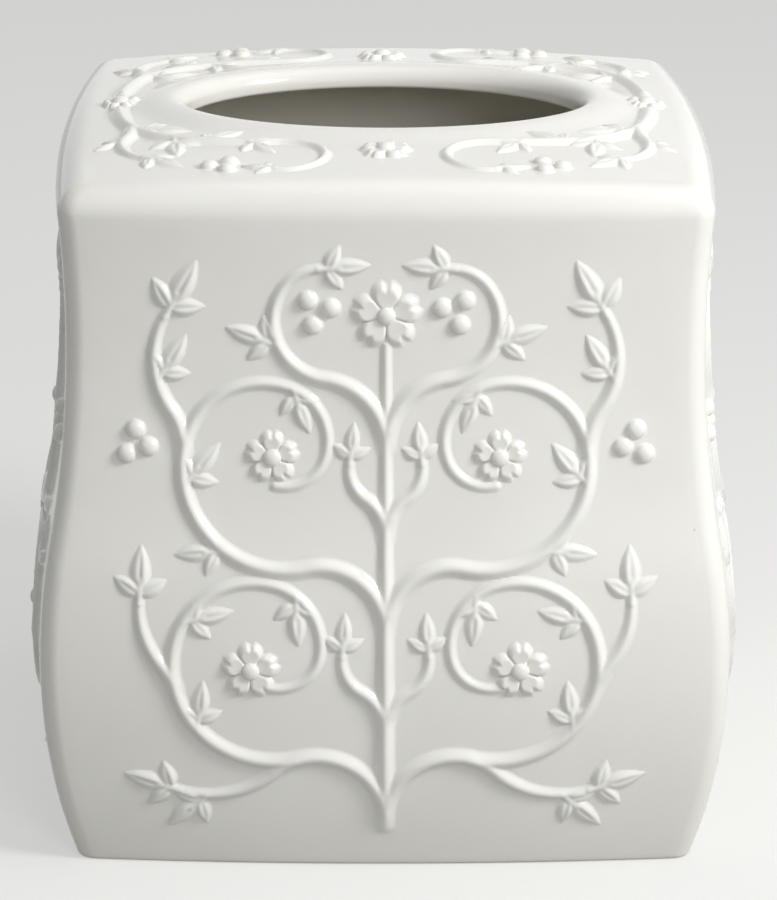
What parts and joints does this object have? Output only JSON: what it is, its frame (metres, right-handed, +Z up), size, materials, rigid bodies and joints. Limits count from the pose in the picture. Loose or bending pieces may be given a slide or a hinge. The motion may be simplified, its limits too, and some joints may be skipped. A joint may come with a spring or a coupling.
{
  "type": "tissue box cover",
  "caption": "Square glazed ceramic cover for a boutique tissue carton, with S-curved sides, an oval opening and raised foliage.",
  "frame": {"origin": "middle of the foot rim, on the surface that the cover stands on", "axes": "+Z up through the oval opening, -Y the front side, X along the oval's length"},
  "size_m": [0.149, 0.149, 0.1472],
  "materials": {
    "porcelain": "clear gloss glaze over white porcelain"
  },
  "bodies": {
    "root": {"cover_shell": "porcelain", "front_stems": "porcelain", "front_leaves": "porcelain", "front_blossoms": "porcelain", "front_berries": "porcelain", "right_stems": "porcelain", "right_leaves": "porcelain", "right_blossoms": "porcelain", "right_berries": "porcelain", "back_stems": "porcelain", "back_leaves": "porcelain", "back_blossoms": "porcelain", "back_berries": "porcelain", "left_stems": "porcelain", "left_leaves": "porcelain", "left_blossoms": "porcelain", "left_berries": "porcelain", "top_stems": "porcelain", "top_leaves": "porcelain", "top_blossoms": "porcelain", "top_berries": "porcelain"}
  },
  "joints": []
}
